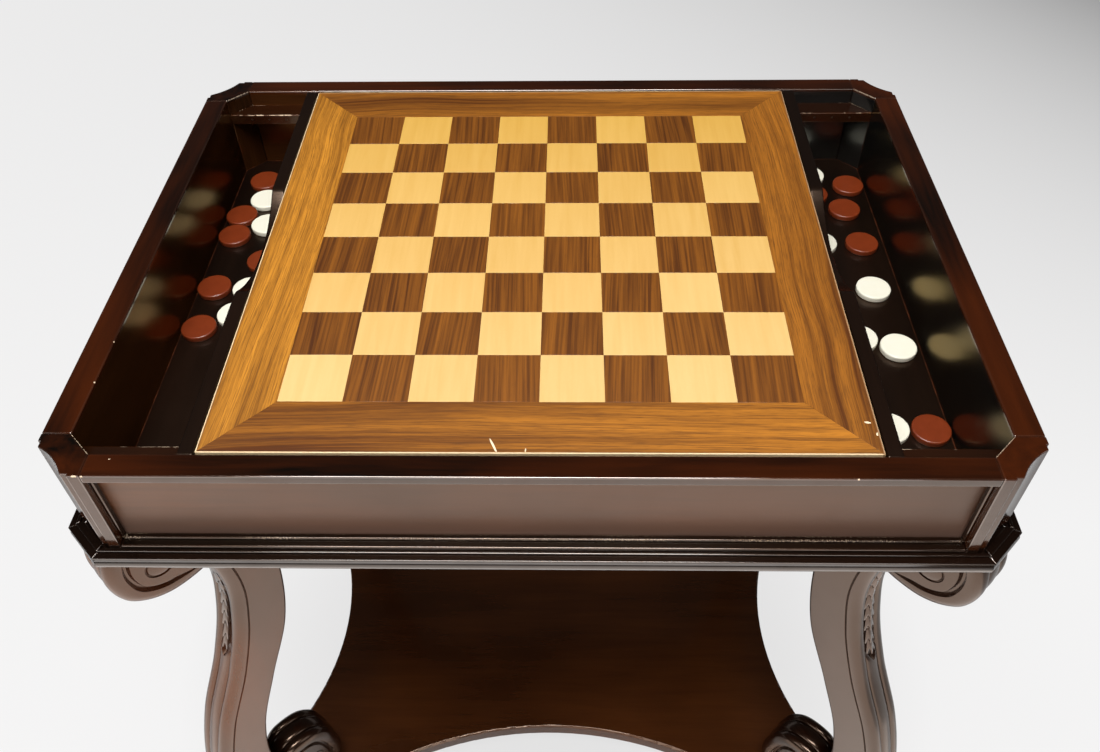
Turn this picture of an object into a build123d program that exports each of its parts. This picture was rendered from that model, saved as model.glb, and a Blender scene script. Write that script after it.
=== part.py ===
"""A games table: a shallow wooden case with a lift-out chequered board between two counter
wells, on four scroll legs that stand on a low platform with hollowed sides.

Millimetres. The origin is on the floor under the table's centre, +X runs to the right along
the long side, +Y to the back and +Z up.
"""
from build123d import *
from math import radians, sqrt, tan
import os

os.makedirs("parts", exist_ok=True)

# Heights, stacked from the floor up
foot_height = 42.0
platform_thickness = 22.0
leg_height = 588.0
base_thickness = 14.5
case_height = 95.5
well_depth = 90.0

# The board and what stands round it, from the middle out
square = 50.8
squares_per_side = 8
border_width = 50.8
board_thickness = 16.5
board_drop = 0.5
side_play = 1.5
end_play = 2.0
divider_thickness = 12.0
well_width = 84.5
side_wall = 23.0
front_wall = 21.0
inner_cant = 19.5

# The gap between fitted pieces
joint_gap = 0.1

platform_top = foot_height + platform_thickness
base_bottom = platform_top + leg_height
case_bottom = base_bottom + base_thickness
rim_top = case_bottom + case_height
floor_top = rim_top - well_depth
field_half = square * squares_per_side / 2
board_half = field_half + border_width
divider_inner = board_half + side_play
well_inner = divider_inner + divider_thickness
inner_half_length = well_inner + well_width
inner_half_depth = board_half + end_play
half_length = inner_half_length + side_wall
half_depth = inner_half_depth + front_wall
board_top = rim_top - board_drop
ledger_top = board_top - board_thickness

sides = {
    "front": Plane(origin=(0, -half_depth, rim_top), x_dir=(1, 0, 0), z_dir=(0, -1, 0)),
    "back": Plane(origin=(0, half_depth, rim_top), x_dir=(-1, 0, 0), z_dir=(0, 1, 0)),
    "left": Plane(origin=(-half_length, 0, rim_top), x_dir=(0, -1, 0), z_dir=(-1, 0, 0)),
    "right": Plane(origin=(half_length, 0, rim_top), x_dir=(0, 1, 0), z_dir=(1, 0, 0)),
}
corners = {
    "front_left": (-1, -1),
    "front_right": (1, -1),
    "back_left": (-1, 1),
    "back_right": (1, 1),
}
up = (Align.CENTER, Align.CENTER, Align.MIN)
down = (Align.CENTER, Align.CENTER, Align.MAX)
down_and_in = (Align.CENTER, Align.MAX, Align.MAX)


def write(part, name):
    """Label a finished piece and write it under its own name."""
    part.label = name
    export_step(part, f"parts/{name}.step")


def octagon(half_x, half_y, cant):
    """The corners of a rectangle with canted corners, anticlockwise from the front left."""
    return [
        (cant - half_x, -half_y),
        (half_x - cant, -half_y),
        (half_x, cant - half_y),
        (half_x, half_y - cant),
        (half_x - cant, half_y),
        (cant - half_x, half_y),
        (-half_x, half_y - cant),
        (-half_x, cant - half_y),
    ]


def rectangle(half_x, half_y, middle=0):
    """The corners of a rectangle, anticlockwise from the lower left."""
    return [
        (-half_x, middle - half_y),
        (half_x, middle - half_y),
        (half_x, middle + half_y),
        (-half_x, middle + half_y),
    ]


def mitred_side(outer, inner, i):
    """One side of a mitred frame, half a joint gap short of each of its neighbours."""
    j = (i + 1) % len(outer)
    short = (Vector(*outer[j]) - Vector(*outer[i])).normalized() * joint_gap / 2
    return [
        Vector(*outer[i]) + short,
        Vector(*outer[j]) - short,
        Vector(*inner[j]) - short,
        Vector(*inner[i]) + short,
    ]


# Corner posts: a block in each corner, with a shallow cove between two quirks
post_length = side_wall + inner_cant
post_depth = front_wall + inner_cant
post_face = 9.5
quirk_depth = 2.0
quirk_width = 5.5
cove_rise = 3.0
quirk_end = post_length - post_face
cove_start = quirk_end - quirk_width
cove_middle = (cove_start + quirk_depth) / 2 + cove_rise / sqrt(2)


def from_corner(corner, u, v):
    """The point u and v in from the case's two faces that meet at a corner."""
    sx, sy = corners[corner]
    return (sx * (half_length - u), sy * (half_depth - v))


for corner in corners:
    with BuildPart() as post:
        with BuildSketch(Plane.XY.offset(case_bottom)):
            with BuildLine():
                Polyline(
                    from_corner(corner, cove_start, quirk_depth),
                    from_corner(corner, quirk_end, quirk_depth),
                    from_corner(corner, quirk_end, 0),
                    from_corner(corner, post_length, 0),
                    from_corner(corner, post_length, front_wall),
                    from_corner(corner, side_wall, post_depth),
                    from_corner(corner, 0, post_depth),
                    from_corner(corner, 0, quirk_end),
                    from_corner(corner, quirk_depth, quirk_end),
                    from_corner(corner, quirk_depth, cove_start),
                )
                ThreePointArc(
                    from_corner(corner, quirk_depth, cove_start),
                    from_corner(corner, cove_middle, cove_middle),
                    from_corner(corner, cove_start, quirk_depth),
                )
            make_face()
        extrude(amount=case_height)
    write(post.part, f"{corner}_post")

# Ledgers: strips nailed inside the long walls, which carry the board
ledger_depth = 21.0
ledger_height = 11.0
brad_radius = 1.1
brad_length = 26.0
well_brads = 3
well_brad_pitch = 19.0
tray_brads = 5
ledger_edge = inner_half_depth - ledger_depth
ledger_bottom = ledger_top - ledger_height
tray_brad_pitch = 2 * board_half / tray_brads
brad_places = [(i - (tray_brads - 1) / 2) * tray_brad_pitch for i in range(tray_brads)]
for sx in (-1, 1):
    for i in range(well_brads):
        along = (i - (well_brads - 1) / 2) * well_brad_pitch
        brad_places.append(sx * (well_inner + well_width / 2 + along))


def brad_planes(sy, y):
    """The brads' places on a face at y of one long wall's ledger, each facing the well."""
    z = ledger_top - ledger_height / 2
    return [Plane(origin=(x, sy * y, z), z_dir=(0, -sy, 0)) for x in brad_places]


for side, sy in (("front", -1), ("back", 1)):
    with BuildPart() as ledger:
        with BuildSketch(Plane.XY.offset(ledger_bottom)):
            Polygon(
                (inner_cant - inner_half_length, sy * inner_half_depth),
                (inner_half_length - inner_cant, sy * inner_half_depth),
                (inner_half_length, sy * (inner_half_depth - inner_cant)),
                (inner_half_length, sy * ledger_edge),
                (-inner_half_length, sy * ledger_edge),
                (-inner_half_length, sy * (inner_half_depth - inner_cant)),
                align=None,
            )
        extrude(amount=ledger_height)
        with Locations(*brad_planes(sy, ledger_edge)):
            Hole(brad_radius + joint_gap, depth=ledger_depth)
    write(ledger.part, f"{side}_ledger")

with BuildPart() as brads:
    for sy in (-1, 1):
        with Locations(*brad_planes(sy, ledger_edge)):
            Cylinder(brad_radius, brad_length, align=down)
write(brads.part, "ledger_brads")

# Aprons: boards between the posts, each with a sunk panel and a bead round the panel
rim_band = 8.5
foot_band = 5.0
recess_depth = 6.5
bead_width = 2.5
bead_height = 5.0
panel_thickness = 3.0
recess_height = case_height - rim_band - foot_band
panel_drop = recess_depth + bead_height

for side, face in sides.items():
    is_long = side in ("front", "back")
    span = 2 * (half_length - post_length) if is_long else 2 * (half_depth - post_depth)
    wall = front_wall if is_long else side_wall

    with BuildPart() as apron:
        with Locations(face):
            Box(span, case_height, wall, align=down_and_in)
            with Locations((0, -rim_band, 0)):
                pocket_depth = panel_drop + panel_thickness
                Box(span, recess_height, pocket_depth, align=down_and_in, mode=Mode.SUBTRACT)
        if is_long:
            with Locations(*brad_planes(1 if side == "back" else -1, inner_half_depth)):
                Hole(brad_radius + joint_gap, depth=brad_length - ledger_depth + joint_gap)
    write(apron.part, f"{side}_apron")

    with BuildPart(face.offset(-panel_drop)) as panel:
        with Locations((0, -rim_band, 0)):
            Box(span, recess_height, panel_thickness, align=down_and_in)
    write(panel.part, f"{side}_panel")

    middle = -rim_band - recess_height / 2
    outer = rectangle(span / 2, recess_height / 2, middle)
    inner = rectangle(span / 2 - bead_width, recess_height / 2 - bead_width, middle)
    with BuildPart() as bead:
        with BuildSketch(face.offset(-panel_drop)):
            for i in range(len(outer)):
                Polygon(*mitred_side(outer, inner, i), align=None)
        extrude(amount=bead_height)
    write(bead.part, f"{side}_panel_bead")

# Dividers: boards from front to back between the tray and the wells, with a finger scoop
divider_drop = 1.0
scoop_length = 150.0
scoop_depth = 22.0
scoop_round = 14.0

for side, low in (("left", -well_inner), ("right", divider_inner)):
    top = rim_top - divider_drop
    notch_edge = ledger_edge - joint_gap
    with BuildPart() as divider:
        with BuildSketch(Plane(origin=(low, 0, 0), x_dir=(0, 1, 0), z_dir=(1, 0, 0))) as profile:
            with BuildLine():
                for sy in (-1, 1):
                    Polyline(
                        (0, floor_top),
                        (sy * inner_half_depth, floor_top),
                        (sy * inner_half_depth, ledger_bottom - joint_gap),
                        (sy * notch_edge, ledger_bottom - joint_gap),
                        (sy * notch_edge, ledger_top + joint_gap),
                        (sy * inner_half_depth, ledger_top + joint_gap),
                        (sy * inner_half_depth, top),
                        (sy * scoop_length / 2, top),
                    )
                ThreePointArc(
                    (-scoop_length / 2, top),
                    (0, top - scoop_depth),
                    (scoop_length / 2, top),
                )
            make_face()
            fillet([v for v in profile.vertices() if 0 < abs(v.X) < scoop_length], scoop_round)
        extrude(amount=divider_thickness)
    write(divider.part, f"{side}_divider")

# The well floor, a thin panel that fills the case between its walls
with BuildPart() as case_floor:
    with BuildSketch(Plane.XY.offset(case_bottom)):
        Polygon(*octagon(inner_half_length, inner_half_depth, inner_cant), align=None)
    extrude(amount=floor_top - case_bottom)
write(case_floor.part, "case_floor")

# The base: a board under the case, edged with eight mitred strips of moulding
base_overhang = 9.5
base_cant = 30.0
moulding_width = 24.0
moulding_fillet = 1.4
moulding_fillet_in = 0.5
moulding_quirk = 1.4
moulding_quirk_in = 1.6
torus_in = 2.4
lip_width = 3.0
lip_height = 2.0
base_half_x = half_length + base_overhang
base_half_y = half_depth + base_overhang
inset_cant = base_cant - moulding_width * (2 - sqrt(2))

# Legs, in the upright plane on each corner's diagonal: u runs out along it, as shares of the
# reach, from the set-back inside the base's cant, and h up from the platform
leg_width = 46.0
leg_reach = 151.0
leg_set_back = 129.0
channel_width = 17.0
channel_depth = 4.0
flute_width = 1.6
flute_depth = 3.0
flute_offset = (channel_width + flute_width) / 2
inner_edge_shares = [
    (0.080, 1.0), (-0.030, 0.900), (-0.040, 0.760), (0.055, 0.617), (0.285, 0.483),
    (0.483, 0.354), (0.548, 0.240), (0.517, 0.168),
]
lower_volute_shares = [
    (0.517, 0.168), (0.440, 0.188), (0.330, 0.192), (0.200, 0.183), (0.105, 0.157),
    (0.045, 0.110), (0.024, 0.065), (0.113, 0.0),
]
outer_edge_shares = [
    (0.755, 0.0), (0.920, 0.030), (0.990, 0.095), (0.998, 0.170), (0.921, 0.289),
    (0.762, 0.427), (0.526, 0.561), (0.371, 0.682), (0.312, 0.775), (0.350, 0.864),
]
upper_volute_shares = [
    (0.350, 0.864), (0.470, 0.858), (0.600, 0.859), (0.715, 0.871), (0.805, 0.892),
    (0.858, 0.930), (0.820, 1.0),
]
channel_shares = [
    (0.508, 0.573), (0.437, 0.617), (0.371, 0.682), (0.320, 0.750), (0.312, 0.775), (0.340, 0.850),
]
carving_shares = [
    (0.445, 0.612), (0.371, 0.682), (0.320, 0.750), (0.312, 0.775), (0.336, 0.842),
]
grooves = [(channel_shares, 0, channel_width, channel_depth)]
for across in (-flute_offset, flute_offset):
    grooves.append((outer_edge_shares, across, flute_width, flute_depth))
    grooves.append((lower_volute_shares, across, flute_width, flute_depth))
eye_shares = [(0.580, 0.936, 0.180), (0.285, 0.112, 0.110)]
eye_ring = 4.0
eye_depth = 3.0
base_cant_x = base_half_x - base_cant / 2
base_cant_y = base_half_y - base_cant / 2


def leg_plane(corner):
    """The leg's plane: its X runs out along the diagonal and its Y up, from the platform."""
    sx, sy = corners[corner]
    origin = (sx * base_cant_x, sy * base_cant_y, platform_top)
    return Plane(origin=origin, x_dir=(sx, sy, 0), z_dir=(sy, -sx, 0))


def leg_points(shares):
    """Points of the leg's outline from shares of its reach and height."""
    return [(u * leg_reach - leg_set_back, h * leg_height) for u, h in shares]


def on_diagonal(corner, reach, height, across=0):
    """A point on a corner's diagonal, reach out from the base's cant and across to one side."""
    return leg_plane(corner).from_local_coords(Vector(reach, height - platform_top, across))


# What ties the legs to the base above them and the platform under them
dowel_radius = 5.0
dowel_in_leg = 25.0
dowel_in_base = 10.0
dowel_shares = (0.30, 0.64)
screw_radius = 2.5
screw_head_radius = 5.0
screw_length = 50.0
screw_spread = 12.0
screw_share = 0.26
screw_head_angle = 82.0
screw_reach = screw_share * leg_reach - leg_set_back
screw_head_height = (screw_head_radius - screw_radius) / tan(radians(screw_head_angle / 2))


def dowel_planes(corner, way):
    """The dowels' places at the joint of a leg and the base, facing up for 1 or down for -1."""
    reaches = [share * leg_reach - leg_set_back for share in dowel_shares]
    return [Plane(origin=on_diagonal(corner, r, base_bottom), z_dir=(0, 0, way)) for r in reaches]


def screw_planes(corner, height):
    """The places of a leg's two screws at a height, each facing down."""
    across = (-screw_spread, screw_spread)
    points = [on_diagonal(corner, screw_reach, height, a) for a in across]
    return [Plane(origin=point, z_dir=(0, 0, -1)) for point in points]


with BuildPart() as base_board:
    with BuildSketch(Plane.XY.offset(base_bottom)):
        inset = (base_half_x - moulding_width, base_half_y - moulding_width)
        Polygon(*octagon(*inset, inset_cant), align=None)
    extrude(amount=base_thickness)
    for corner in corners:
        with Locations(*dowel_planes(corner, -1)):
            Hole(dowel_radius + joint_gap, depth=dowel_in_base + joint_gap)
write(base_board.part, "base_board")

moulding_names = ("front", "front_right", "right", "back_right", "back", "back_left", "left", "front_left")
base_outline = [Vector(x, y, base_bottom) for x, y in octagon(base_half_x, base_half_y, base_cant)]
torus_top = base_thickness - moulding_fillet - moulding_quirk
cant_lip_end = (cove_start + quirk_depth - base_cant + 2 * base_overhang) / sqrt(2) - joint_gap

for i, name in enumerate(moulding_names):
    start, end = base_outline[i], base_outline[(i + 1) % 8]
    along = (end - start).normalized()
    before = (start - base_outline[i - 1]).normalized()
    after = (base_outline[(i + 2) % 8] - end).normalized()
    inward = Vector(0, 0, 1).cross(along)
    lip_end = cant_lip_end if i % 2 else base_overhang
    lip_start = base_overhang - lip_width
    with BuildPart() as moulding:
        with BuildSketch(Plane(origin=(start + end) / 2, x_dir=inward, z_dir=along)):
            with BuildLine():
                Polyline(
                    (torus_in, 0),
                    (moulding_width, 0),
                    (moulding_width, base_thickness),
                    (lip_end, base_thickness),
                    (lip_end, base_thickness + lip_height),
                    (lip_start, base_thickness + lip_height),
                    (lip_start, base_thickness),
                    (moulding_fillet_in, base_thickness),
                    (moulding_fillet_in, base_thickness - moulding_fillet),
                    (moulding_quirk_in, base_thickness - moulding_fillet),
                    (moulding_quirk_in, torus_top),
                    (torus_in, torus_top),
                )
                ThreePointArc((torus_in, 0), (0, torus_top / 2), (torus_in, torus_top))
            make_face()
        extrude(amount=(end - start).length / 2 + moulding_width, both=True)
        mitre = Plane(origin=start, z_dir=before + along).offset(joint_gap / 2)
        split(bisect_by=mitre, keep=Keep.TOP)
        mitre = Plane(origin=end, z_dir=along + after).offset(-joint_gap / 2)
        split(bisect_by=mitre, keep=Keep.BOTTOM)
    write(moulding.part, f"{name}_base_moulding")

# The legs: flat sawn scrolls, reeded along the outward edge, with a channel at the knee and a
# ring sunk round the eye of each volute
for corner in corners:
    plane = leg_plane(corner)
    with BuildPart() as leg:
        with BuildSketch(plane):
            with BuildLine():
                Spline(*leg_points(inner_edge_shares))
                Spline(*leg_points(lower_volute_shares))
                Line(*leg_points([lower_volute_shares[-1], outer_edge_shares[0]]))
                Spline(*leg_points(outer_edge_shares))
                Spline(*leg_points(upper_volute_shares))
                Line(*leg_points([upper_volute_shares[-1], inner_edge_shares[0]]))
            make_face()
        extrude(amount=leg_width / 2, both=True)
        for shares, across, width, depth in grooves:
            with BuildLine(plane.offset(across)) as path:
                Spline(*leg_points(shares))
            with BuildSketch(Plane(origin=path.line @ 0, x_dir=plane.z_dir, z_dir=path.line % 0)):
                Rectangle(width, 2 * depth)
            sweep(mode=Mode.SUBTRACT)
        for way in (-1, 1):
            with BuildSketch(plane.offset(way * leg_width / 2)):
                for u, h, radius in eye_shares:
                    with Locations(*leg_points([(u, h)])):
                        Circle(radius * leg_reach)
                        Circle(radius * leg_reach - eye_ring, mode=Mode.SUBTRACT)
            extrude(amount=-way * eye_depth, mode=Mode.SUBTRACT)
        with Locations(*dowel_planes(corner, 1)):
            Hole(dowel_radius + joint_gap, depth=dowel_in_leg + joint_gap)
        with Locations(*screw_planes(corner, platform_top)):
            Hole(screw_radius + joint_gap, depth=screw_length - platform_thickness + joint_gap)
    write(leg.part, f"{corner}_leg")

# The carvings: a drop of husks on a strip, let into each leg's channel
carving_width = 8.0
carving_strip = 1.6
husks = 7
husk_length = 19.0
husk_wide_radius = 4.2
husk_narrow_radius = 1.6
husk_depth = 2.6
husk_start_share = 0.10
husk_step_share = 0.125

for corner in corners:
    plane = leg_plane(corner)
    with BuildPart() as carving:
        with BuildLine(plane) as path:
            Spline(*leg_points(carving_shares))
        curve = path.line
        foot = Plane(origin=curve @ 0, x_dir=plane.z_dir, z_dir=curve % 0)
        with BuildSketch(foot):
            with Locations((0, joint_gap - channel_depth)):
                Rectangle(carving_width, carving_strip, align=(Align.CENTER, Align.MIN))
        sweep()
        for i in range(husks):
            share = husk_start_share + i * husk_step_share
            husk = Plane(origin=curve @ share, x_dir=plane.z_dir, z_dir=curve % share)
            with Locations(husk):
                with Locations((0, -husk_depth, 0)):
                    Cone(husk_narrow_radius, husk_wide_radius, husk_length)
        with BuildLine(plane) as path:
            Spline(*leg_points(carving_shares))
        with BuildSketch(foot):
            with Locations((0, joint_gap - channel_depth)):
                Rectangle(channel_width, channel_depth, align=(Align.CENTER, Align.MAX))
        sweep(mode=Mode.SUBTRACT)
    write(carving.part, f"{corner}_carving")

with BuildPart() as dowels:
    for corner in corners:
        with Locations(*dowel_planes(corner, -1)):
            Cylinder(dowel_radius, dowel_in_base, align=down)
            Cylinder(dowel_radius, dowel_in_leg, align=up)
write(dowels.part, "leg_dowels")

with BuildPart() as screws:
    for corner in corners:
        with Locations(*screw_planes(corner, foot_height)):
            Cylinder(screw_radius, screw_length, align=down)
            Cone(screw_radius, screw_head_radius, screw_head_height, align=down)
write(screws.part, "platform_screws")

# The platform: a shelf with hollowed sides and canted corners, one under each leg
waist_half_x = 297.0
waist_half_y = 159.0
shelf_set_back = 8.0
shelf_cant_half = 45.0
shelf_round = 3.0
foot_radius = 32.0
foot_set_back = 48.0
foot_shoulder = 26.0
foot_neck = 24.0
foot_tread = 22.0
foot_belly = 18.0
foot_neck_height = 34.0
spigot_radius = 10.0
spigot_length = 15.0


def shelf_corner(corner, across):
    """A corner of the platform: its cant's end to the left or the right of the diagonal."""
    point = on_diagonal(corner, -shelf_set_back, foot_height, across * shelf_cant_half)
    return (point.X, point.Y)


foot_planes = [Plane(origin=on_diagonal(corner, -foot_set_back, foot_height)) for corner in corners]

with BuildPart() as platform:
    with BuildSketch(Plane.XY.offset(foot_height)):
        with BuildLine():
            for corner, (sx, sy) in corners.items():
                Line(shelf_corner(corner, -1), shelf_corner(corner, 1))
            for sy, names in ((-1, ("front_left", "front_right")), (1, ("back_right", "back_left"))):
                ThreePointArc(
                    shelf_corner(names[0], -1),
                    (0, sy * waist_half_y),
                    shelf_corner(names[1], 1),
                )
            for sx, names in ((-1, ("back_left", "front_left")), (1, ("front_right", "back_right"))):
                ThreePointArc(
                    shelf_corner(names[0], -1),
                    (sx * waist_half_x, 0),
                    shelf_corner(names[1], 1),
                )
        make_face()
    extrude(amount=platform_thickness)
    fillet(platform.faces().sort_by(Axis.Z)[-1].edges(), radius=shelf_round)
    fillet(platform.faces().sort_by(Axis.Z)[0].edges(), radius=shelf_round)
    for corner in corners:
        with Locations(*screw_planes(corner, foot_height)):
            CounterSinkHole(
                screw_radius + joint_gap,
                screw_head_radius + joint_gap,
                depth=platform_thickness,
                counter_sink_angle=screw_head_angle,
            )
    for place in foot_planes:
        with Locations(Plane(origin=place.origin, z_dir=(0, 0, -1))):
            Hole(spigot_radius + joint_gap, depth=spigot_length + joint_gap)
write(platform.part, "platform")

# Bun feet, turned, each with a spigot up into the platform
for corner, place in zip(corners, foot_planes):
    with BuildPart() as foot:
        upright = Plane(origin=(place.origin.X, place.origin.Y, 0), x_dir=(1, 0, 0), z_dir=(0, -1, 0))
        with BuildSketch(upright):
            with BuildLine():
                Polyline(
                    (foot_neck, foot_neck_height),
                    (foot_shoulder, foot_neck_height),
                    (foot_shoulder, foot_height),
                    (spigot_radius, foot_height),
                    (spigot_radius, foot_height + spigot_length),
                    (0, foot_height + spigot_length),
                    (0, 0),
                    (foot_tread, 0),
                )
                ThreePointArc(
                    (foot_tread, 0),
                    (foot_radius, foot_belly),
                    (foot_neck, foot_neck_height),
                )
            make_face()
        revolve(axis=Axis(upright.origin, upright.y_dir))
    write(foot.part, f"{corner}_foot")

# The lift-out board: a core, a thin veneer of squares and borders, and a lipping round it
veneer = 1.0
lipping_width = 1.6
square_gap = 0.06
core_half = board_half - lipping_width
core_top = board_top - veneer

with BuildPart(Plane.XY.offset(core_top)) as board_core:
    Box(2 * core_half, 2 * core_half, board_thickness - veneer, align=down)
write(board_core.part, "board_core")

outer = rectangle(core_half, core_half)
inner = rectangle(field_half, field_half)
for i, side in enumerate(("front", "right", "back", "left")):
    with BuildPart() as border:
        with BuildSketch(Plane.XY.offset(core_top)):
            Polygon(*mitred_side(outer, inner, i), align=None)
        extrude(amount=veneer)
    write(border.part, f"{side}_border")

for name, odd in (("light_squares", 0), ("dark_squares", 1)):
    places = []
    for i in range(squares_per_side):
        for j in range(squares_per_side):
            if (i + j) % 2 == odd:
                places.append((i * square + square / 2 - field_half, j * square + square / 2 - field_half))
    with BuildPart() as squares:
        with BuildSketch(Plane.XY.offset(core_top)):
            with Locations(*places):
                Rectangle(square - square_gap, square - square_gap)
        extrude(amount=veneer)
    write(squares.part, name)

outer = rectangle(board_half, board_half)
inner = rectangle(core_half, core_half)
with BuildPart() as board_lipping:
    with BuildSketch(Plane.XY.offset(ledger_top)):
        for i in range(len(outer)):
            Polygon(*mitred_side(outer, inner, i), align=None)
    extrude(amount=board_thickness)
write(board_lipping.part, "board_lipping")

# The men, where they lie in the wells: shares across each well from its divider, then back
man_radius = 16.8
man_thickness = 6.0
man_top_round = 1.5
man_bottom_round = 1.0
men_shares = {
    "left_light_men": [(0.594, 0.680), (0.376, 0.506), (0.275, 0.097), (0.396, -0.049)],
    "left_dark_men": [
        (0.760, 0.819), (0.986, 0.568), (0.986, 0.433), (0.986, 0.108), (0.986, -0.123),
        (0.192, 0.268),
    ],
    "right_light_men": [
        (0.170, 0.850), (0.012, 0.378), (0.784, 0.098), (0.234, -0.177), (0.895, -0.223),
        (0.293, -0.611),
    ],
    "right_dark_men": [
        (0.962, 0.777), (0.129, 0.713), (0.717, 0.606), (0.850, 0.377), (0.986, -0.616),
    ],
}

for name, shares in men_shares.items():
    sx = -1 if name.startswith("left") else 1
    places = []
    for across, back in shares:
        x = sx * (well_inner + man_radius + across * (well_width - 2 * man_radius))
        places.append((x, back * inner_half_depth))
    with BuildPart() as men:
        with BuildSketch(Plane.XY.offset(floor_top)):
            with Locations(*places):
                Circle(man_radius)
        extrude(amount=man_thickness)
        rims = men.edges().filter_by(GeomType.CIRCLE).group_by(Axis.Z)
        fillet(rims[-1], radius=man_top_round)
        rims = men.edges().filter_by(GeomType.CIRCLE).group_by(Axis.Z)
        fillet(rims[0], radius=man_bottom_round)
    write(men.part, name)
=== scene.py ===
"""The looks of a games table: a dark polished case with a chequered board, on scroll legs.

Metres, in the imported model's frame: the origin is on the floor under the table's centre,
+X to the right along the long side, +Y to the back and +Z up.
"""

from math import cos, pi, radians, sin, sqrt

import bmesh
import bpy
from mathutils import Matrix, Vector
from mathutils.geometry import interpolate_bezier


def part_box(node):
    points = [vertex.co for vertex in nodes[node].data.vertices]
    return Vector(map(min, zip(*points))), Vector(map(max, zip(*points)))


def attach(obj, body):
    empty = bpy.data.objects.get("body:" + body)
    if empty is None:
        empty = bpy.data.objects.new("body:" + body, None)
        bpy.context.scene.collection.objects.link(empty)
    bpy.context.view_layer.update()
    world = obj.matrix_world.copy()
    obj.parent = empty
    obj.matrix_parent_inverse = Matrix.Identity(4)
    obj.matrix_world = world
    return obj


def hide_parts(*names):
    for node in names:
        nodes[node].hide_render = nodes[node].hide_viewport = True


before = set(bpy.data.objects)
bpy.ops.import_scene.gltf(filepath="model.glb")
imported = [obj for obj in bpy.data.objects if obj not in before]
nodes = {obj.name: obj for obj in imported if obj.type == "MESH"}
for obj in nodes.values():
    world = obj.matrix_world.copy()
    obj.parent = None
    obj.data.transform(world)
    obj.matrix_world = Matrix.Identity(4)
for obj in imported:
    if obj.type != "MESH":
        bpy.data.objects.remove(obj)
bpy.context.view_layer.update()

# The case: dark mahogany boards, glossy with lacquer, mitred and glued at canted corners.
# Each CAD node is merged, its arrises are eased, and the easing shows the wear of years.
EASING = 0.0006
BOARD_ARRIS = 0.0013
BEAD_ARRIS = 0.0015
TURN_THAT_EASES = radians(28)
TURN_THAT_CREASES = radians(38)
SHORTEST_EASED = 0.0008
JOIN = 0.000002
FLAT_ENOUGH = radians(0.6)
CORNERS = ("front_left", "front_right", "back_left", "back_right")
SIDES = ("front", "back", "left", "right")


class Wire:
    """A socket of a material's nodes. Sums and products of wires and numbers make Math nodes."""

    def __init__(self, tree, socket):
        self.tree = tree
        self.socket = socket

    def math(self, operation, other=0.0, flipped=False):
        node = self.tree.nodes.new("ShaderNodeMath")
        node.operation = operation
        pair = (other, self) if flipped else (self, other)
        for socket, value in zip(node.inputs, pair):
            if isinstance(value, Wire):
                self.tree.links.new(value.socket, socket)
            else:
                socket.default_value = value
        return Wire(self.tree, node.outputs[0])

    def __add__(self, other):
        return self.math("ADD", other)

    def __sub__(self, other):
        return self.math("SUBTRACT", other)

    def __mul__(self, other):
        return self.math("MULTIPLY", other)

    def __radd__(self, other):
        return self.math("ADD", other, True)

    def __rsub__(self, other):
        return self.math("SUBTRACT", other, True)

    def __rmul__(self, other):
        return self.math("MULTIPLY", other, True)

    def over(self, edge, width):
        """0 below the edge and 1 above it, smooth over the width."""
        return ((self - (edge - width / 2)) * (1 / width)).math("MINIMUM", 1.0).math("MAXIMUM", 0.0)


class Paint:
    """A material with a Principled shader, and short ways to add nodes and set its sockets."""

    def __init__(self, name, **sockets):
        self.material = bpy.data.materials.new(name)
        self.material.use_nodes = True
        self.tree = self.material.node_tree
        self.shader = self.tree.nodes["Principled BSDF"]
        self.put(self.shader, **sockets)
        place = self.node("TexCoord", out="Object")
        split = self.tree.nodes.new("ShaderNodeSeparateXYZ")
        self.tree.links.new(place.socket, split.inputs[0])
        self.place = place
        self.x, self.y, self.z = (Wire(self.tree, socket) for socket in split.outputs)

    def put(self, node, **sockets):
        for name, value in sockets.items():
            numbered = name[0] == "i" and name[1:].isdigit()
            socket = node.inputs[int(name[1:]) if numbered else name.replace("_", " ")]
            if isinstance(value, Wire):
                self.tree.links.new(value.socket, socket)
            else:
                socket.default_value = value

    def node(self, kind, out=0, settings=None, **sockets):
        node = self.tree.nodes.new("ShaderNode" + kind)
        for name, value in (settings or {}).items():
            setattr(node, name, value)
        self.put(node, **sockets)
        return Wire(self.tree, node.outputs[out])

    def vector(self, x, y, z):
        return self.node("CombineXYZ", X=x, Y=y, Z=z)

    def noise(self, place, scale, detail=3.0, rough=0.5, warp=0.0):
        return self.node(
            "TexNoise", Vector=place, Scale=scale, Detail=detail, Roughness=rough, Distortion=warp
        )

    def blend(self, share, low, high):
        """A colour from low to high by the share, and each may be a colour or a wire."""
        return self.node("Mix", 2, {"data_type": "RGBA"}, i0=share, i6=low, i7=high)

    def bump(self, height, distance, strength=1.0):
        self.put(self.shader, Normal=self.node("Bump", Height=height, Distance=distance, Strength=strength))


def along(paint, axis, stretch):
    """The place with the grain's axis squeezed, so that patterns stretch along the grain."""
    parts = [paint.x, paint.y, paint.z]
    parts["XYZ".index(axis)] = parts["XYZ".index(axis)] * (1 / stretch)
    return paint.vector(*parts)


# The mahogany's colours: each has its dark and its warm tone, in linear values.
NEAR_BLACK = (0.0020, 0.0010, 0.0006), (0.0090, 0.0036, 0.0020)
DEEP_BROWN = (0.0080, 0.0024, 0.0010), (0.085, 0.0200, 0.0045)
TOP_BROWN = (0.0015, 0.0006, 0.0003), (0.045, 0.0082, 0.0010)
WELL_BROWN = (0.0035, 0.0014, 0.0006), (0.105, 0.034, 0.009)
# A painted sheen: the grey colour of the right well's faces.
WELL_PAINTED_SHEEN = (0.0700, 0.0710, 0.0680), (0.090, 0.092, 0.090)
BARE_WOOD = (0.78, 0.60, 0.42)
RUBBED_BROWN = (0.15, 0.05, 0.02)
SOFT = 0.001
ALLOWANCE = 0.0004


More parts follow.
